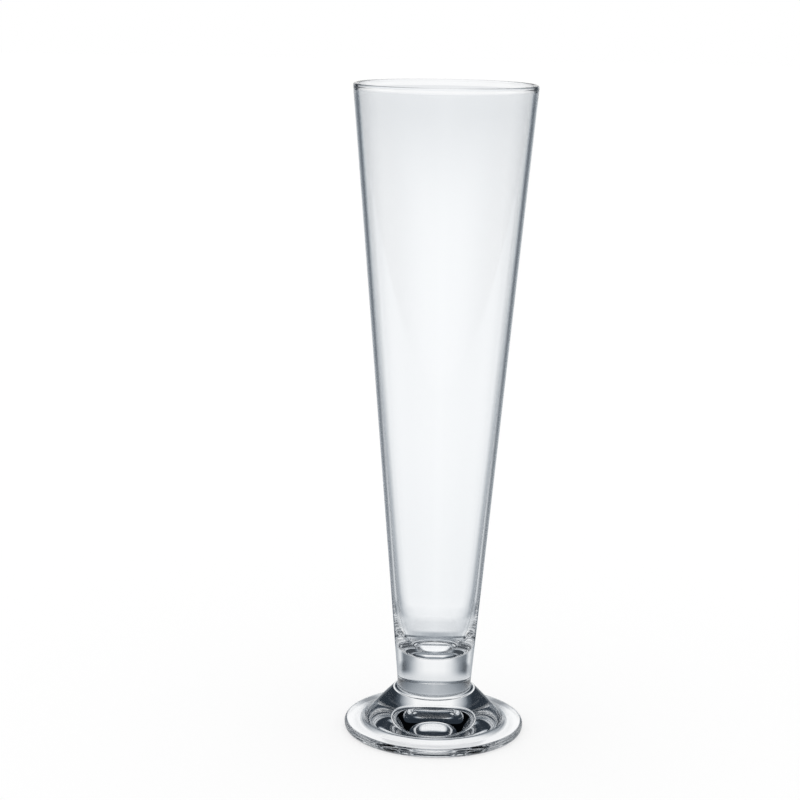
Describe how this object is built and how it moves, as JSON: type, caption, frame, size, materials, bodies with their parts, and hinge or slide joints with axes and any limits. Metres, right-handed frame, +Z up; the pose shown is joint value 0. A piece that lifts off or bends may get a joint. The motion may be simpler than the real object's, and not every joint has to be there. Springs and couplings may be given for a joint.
{
  "type": "pilsner glass",
  "caption": "Tall slender footed beer glass: a straight cone with a thin rounded lip and a thick solid base, fused to a flared round foot with a hollow underside.",
  "frame": {"origin": "on the table, at the middle of the ring that the foot stands on", "axes": "+Z up along the glass's axis to the lip; the glass is round, so X and Y are any two horizontal directions"},
  "size_m": [0.067, 0.067, 0.24],
  "materials": {
    "clear_glass": "clear, fire-polished soda-lime glass"
  },
  "bodies": {
    "root": {"bowl": "clear_glass", "foot": "clear_glass"}
  },
  "joints": []
}
